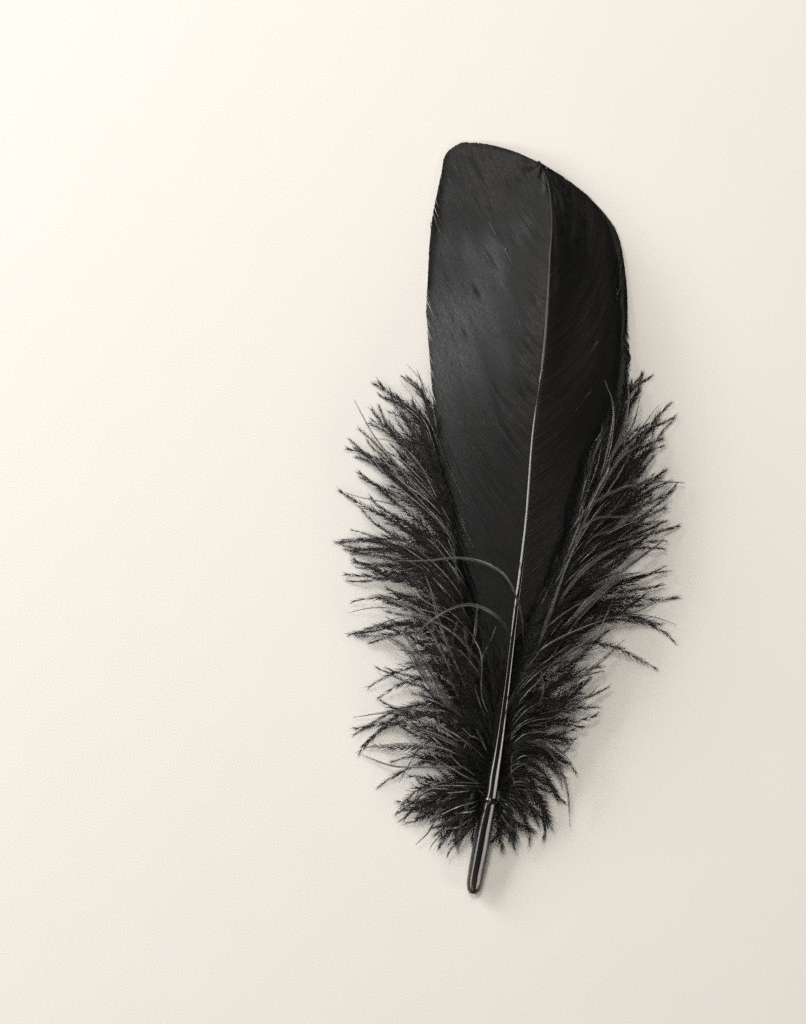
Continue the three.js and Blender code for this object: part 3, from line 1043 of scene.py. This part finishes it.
def add_fibres(tangle, strands, fibres, rng):
    """Fibres that leave the threads, run beside them and end a good way further on."""
    count, width = fibres
    strand = strands.pick(count, rng)
    start = rng.uniform(0.0, 0.78, count)[:, None]
    span = np.minimum(rng.uniform(0.22, 0.48, count)[:, None], 1.0 - start)
    q = np.linspace(0, 1, FIBRE_STEPS)[None, :]
    at = start + span * q
    aside = rng.choice([LEFT, RIGHT], count) * width * rng.uniform(0.25, 1.0, count)
    aside = aside[:, None] * (1 - 0.5 * start) * (1 - (1 - q) ** 1.6) * (1 - 0.3 * q * q)
    above = rng.normal(0, 0.25 * width, (count, 1)) * q
    _, across, up = strands.ways
    path = on_strands(strands.paths, strand, at)
    path = path + on_strands(across, strand, at) * aside[..., None]
    path = path + on_strands(up, strand, at) * above[..., None]
    path[..., 2] = np.maximum(path[..., 2], 0.12)
    spots = map_spots(at, strands.tone(strand, rng)[:, None])
    radius = rng.uniform(*FIBRE_RADII, count)[:, None] * (1 - 0.85 * q) + 0.008
    roll = rng.uniform(0, 2 * np.pi, (count, 1))
    tangle.rods(path, radius, FIBRE_THREAD, roll, spots)


def add_barbules(tangle, strands, barbules, rng):
    """Barbules, which are short and stand out more than fibres."""
    count, longest, half, slants, crowding = barbules
    strand = strands.pick(count, rng)
    at = rng.uniform(0.0, 1.0, count) ** crowding
    along, across, up = (on_strands(way, strand, at) for way in strands.ways)
    spin = rng.normal(0, 0.45, count) + np.where(rng.random(count) < 0.5, 0, np.pi)
    outwards = np.cos(spin)[:, None] * across + np.sin(spin)[:, None] * up
    slant = (rng.uniform(*slants, count) * (1 - 0.55 * smooth(0.35, 1, at)))[:, None]
    way = unit(np.cos(slant) * along + np.sin(slant) * outwards)
    length = longest * (0.7 + 0.3 * smooth(0, 0.3, at) - 0.45 * smooth(0.7, 1, at))
    length = (length * rng.uniform(0.45, 1.0, count))[:, None]
    half = (half * (1.25 - 0.65 * at))[:, None]
    roof = half * rng.uniform(0.3, 1.0, (count, 1))
    spots = map_spots(at, strands.tone(strand, rng))
    root = on_strands(strands.paths, strand, at)
    tangle.spikes(root, way, up, length, half, roof, spots)


def make_down(side, paths, radius, thread, layer, rng, material):
    """Loose barbs: a thread each, long fibres that lie along it, and fine barbules."""
    tangle = Tangle()
    strands = Strands(paths, rng)
    add_threads(tangle, strands, radius, thread, rng)
    add_fibres(tangle, strands, layer.fibres, rng)
    add_barbules(tangle, strands, layer.barbules, rng)
    fit(tangle.mesh(f"{side}_down_{layer.name}", material), f"{side}_down")


def make_plumes(side, guides, wild_below, features, dark, sheen_painted, seed):
    """The down of one side: fluff at the roots, two layers of plumes, and the strands that catch the
    light with short tufts, both in a grey that paints sheen on them.
    """
    rng = np.random.default_rng(seed)
    for layer in LAYERS:
        paths = strand_paths(guides, wild_below, layer, rng)
        radius = tapered(rng.uniform(*DARK_RADII, layer.count), DARK_TAPER)
        make_down(side, paths, radius, DARK_THREAD, layer, rng, dark)

    paths = strand_paths(guides, wild_below, BRIGHT_LAYER, rng)
    single, half = feature_paths(features, rng)
    thick = np.append(rng.uniform(*BRIGHT_RADII, len(paths)), half)
    paths = np.concatenate([paths, single])
    radius = tapered(thick, BRIGHT_TAPER)
    make_down(side, paths, radius, BRIGHT_THREAD, BRIGHT_LAYER, rng, sheen_painted)

    paths = short_lengths(strand_paths(guides, wild_below, TUFT_LAYER, rng), TUFTS, rng)
    swell = np.sin(np.pi * np.linspace(0, 1, TUFT_STEPS)) ** 0.8
    radius = rng.uniform(*TUFT_RADII, (TUFTS, 1)) * swell + THINNEST
    make_down(side, paths, radius, TUFT_THREAD, TUFT_LAYER, rng, sheen_painted)


def make_fan(material, seed):
    """Dark strands over the foot of the left web."""
    rng = np.random.default_rng(seed)
    paths = strand_paths(FAN_GUIDES, 0, FAN_LAYER, rng, under_web=0)
    radius = tapered(rng.uniform(*FAN_RADII, len(paths)), FAN_TAPER)
    make_down("left", paths, radius, DARK_THREAD, FAN_LAYER, rng, material)


def make_stubs(side, stubs, material):
    """Broken barbs on a web."""
    tangle = Tangle()
    s = np.linspace(0, 1, STUB_STEPS)
    for k, (pixels, half) in enumerate(stubs):
        flat = line(from_photo(pixels))(s)
        height = back_height(flat[:, 0], flat[:, 1]) + STUB_RISE
        path = np.column_stack([flat, height])[None]
        radius = half * np.linspace(1, 0.4, STUB_STEPS)[None]
        along_map = np.linspace(0.5, 0.9, STUB_STEPS)
        spots = np.stack(np.broadcast_arrays(along_map, 0.1 + 0.1 * k), -1)[None]
        tangle.rods(path, radius, STUB_THREAD, np.zeros((1, 1)), spots)
    fit(tangle.mesh(f"{side}_web_stubs", material), f"{side}_vane")


# The camera looks straight down, so that the feather lies where it does in the photograph.

LENS_MM = 200.0
SENSOR_MM = 36.0


def make_camera():
    data = bpy.data.cameras.new("camera")
    data.lens = LENS_MM
    data.sensor_width = SENSOR_MM
    camera = bpy.data.objects.new("camera", data)
    frame_height = PHOTO_SIZE[1] * MM_PER_PIXEL * MM
    distance = LENS_MM / SENSOR_MM * frame_height
    aim = (from_photo(PHOTO_SIZE / 2) - MIDDLE[:2]) * MM
    camera.location = (aim[0], aim[1], distance)
    bpy.context.scene.collection.objects.link(camera)
    bpy.context.scene.camera = camera


def area_light(name, place, aim, size, power, colour):
    data = bpy.data.lights.new(name, "AREA")
    data.shape = "RECTANGLE"
    data.size, data.size_y = size
    data.energy = power
    data.color = colour
    light = bpy.data.objects.new(name, data)
    light.location = place
    light.rotation_euler = (Vector(aim) - Vector(place)).to_track_quat("-Z", "Y").to_euler()
    bpy.context.scene.collection.objects.link(light)


# Lights as (name, azimuth from +X and tilt from overhead in degrees, size along the
# floor and across it in metres, watts, colour), all at one distance from the feather.
LIGHT_DISTANCE = 1.1
LIGHTS = [
    ("window", 147, 70, (0.5, 0.4), 10.6, (1.0, 0.99, 0.98)),
    ("slot", 188, 67, (0.75, 0.16), 3.5, (1.0, 0.99, 0.97)),
    ("above_tip", 80, 48, (0.5, 0.45), 1.2, (1.0, 0.97, 0.93)),
    ("overhead", 0, 0, (0.3, 0.3), 1.0, (1.0, 0.95, 0.88)),
    ("skylight", 110, 27, (0.3, 0.3), 4.8, (1.0, 0.96, 0.9)),
    ("rim", 332, 68, (0.4, 0.2), 2.0, (1.0, 0.94, 0.86)),
    ("foot", 235, 50, (0.5, 0.45), 1.1, (1.0, 0.96, 0.9)),
]
WORLD_COLOUR = (1.0, 0.92, 0.82, 1)
WORLD_STRENGTH = 0.06


def make_studio():
    scene = bpy.context.scene
    scene.view_settings.view_transform = "Standard"
    world = bpy.data.worlds.new("studio")
    world.use_nodes = True
    world.node_tree.nodes["Background"].inputs["Color"].default_value = WORLD_COLOUR
    world.node_tree.nodes["Background"].inputs["Strength"].default_value = WORLD_STRENGTH
    scene.world = world
    for name, azimuth, tilt, size, power, colour in LIGHTS:
        round_by, down_by = math.radians(azimuth), math.radians(tilt)
        level = LIGHT_DISTANCE * math.sin(down_by)
        height = LIGHT_DISTANCE * math.cos(down_by)
        place = (level * math.cos(round_by), level * math.sin(round_by), height)
        area_light(name, place, (0, 0, 0), size, power, colour)


# The table's two colours, its specks to the metre, and half its side in metres.
TABLE_COLOURS = ((0.805, 0.785, 0.74), (0.825, 0.805, 0.76))
TABLE_SPECKS, TABLE_HALF = 60.0, 2.0


def make_floor():
    n = Nodes("pale_table", (0.81, 0.79, 0.745), 0.6)
    place = n.add("ShaderNodeTexCoord").outputs["Object"]
    n.to("Base Color", n.grey(n.noise(place, 3.0, TABLE_SPECKS), *TABLE_COLOURS))
    corners = [(x * TABLE_HALF, y * TABLE_HALF, 0) for x, y in ((-1, -1), (1, -1), (1, 1), (-1, 1))]
    mesh = bpy.data.meshes.new("table")
    mesh.from_pydata(corners, [], [(0, 1, 2, 3)])
    mesh.materials.append(n.material)
    floor = bpy.data.objects.new("table", mesh)
    bpy.context.scene.collection.objects.link(floor)


bpy.context.scene.cycles.use_denoising = False
make_camera()
make_studio()
make_floor()

# The down's darkest and lightest colours, for the dark strands and for the grey ones,
# whose light grey is painted sheen.
DARK_DOWN = ((0.004,) * 3, (0.016, 0.015, 0.014))
PAINTED_SHEEN_DOWN = ((0.014, 0.0135, 0.013), (0.13, 0.125, 0.12))

vane = vane_material()
dark_down = down_material("black_down", *DARK_DOWN, roughness=0.5, specular=0.25)
painted_sheen_down = down_material("grey_down_painted_sheen", *PAINTED_SHEEN_DOWN, roughness=0.34, specular=0.8)
make_shaft(shaft_material())
make_vane(LEFT_VANE, LEFT_SPLITS, LEFT_BARBS, LEFT_LOOSE, vane, seed=11)
make_vane(RIGHT_VANE, RIGHT_SPLITS, RIGHT_BARBS, RIGHT_LOOSE, vane, seed=12)
make_plumes("left", LEFT_GUIDES, LEFT_WILD, LEFT_FEATURES, dark_down, painted_sheen_down, seed=21)
make_plumes("right", RIGHT_GUIDES, RIGHT_WILD, RIGHT_FEATURES, dark_down, painted_sheen_down, seed=24)
make_fan(dark_down, seed=27)
# The broken barbs are drawn in the grey down, whose light colour is a painted highlight on them.
make_stubs("left", LEFT_STUBS, painted_sheen_down)
make_stubs("right", RIGHT_STUBS, painted_sheen_down)
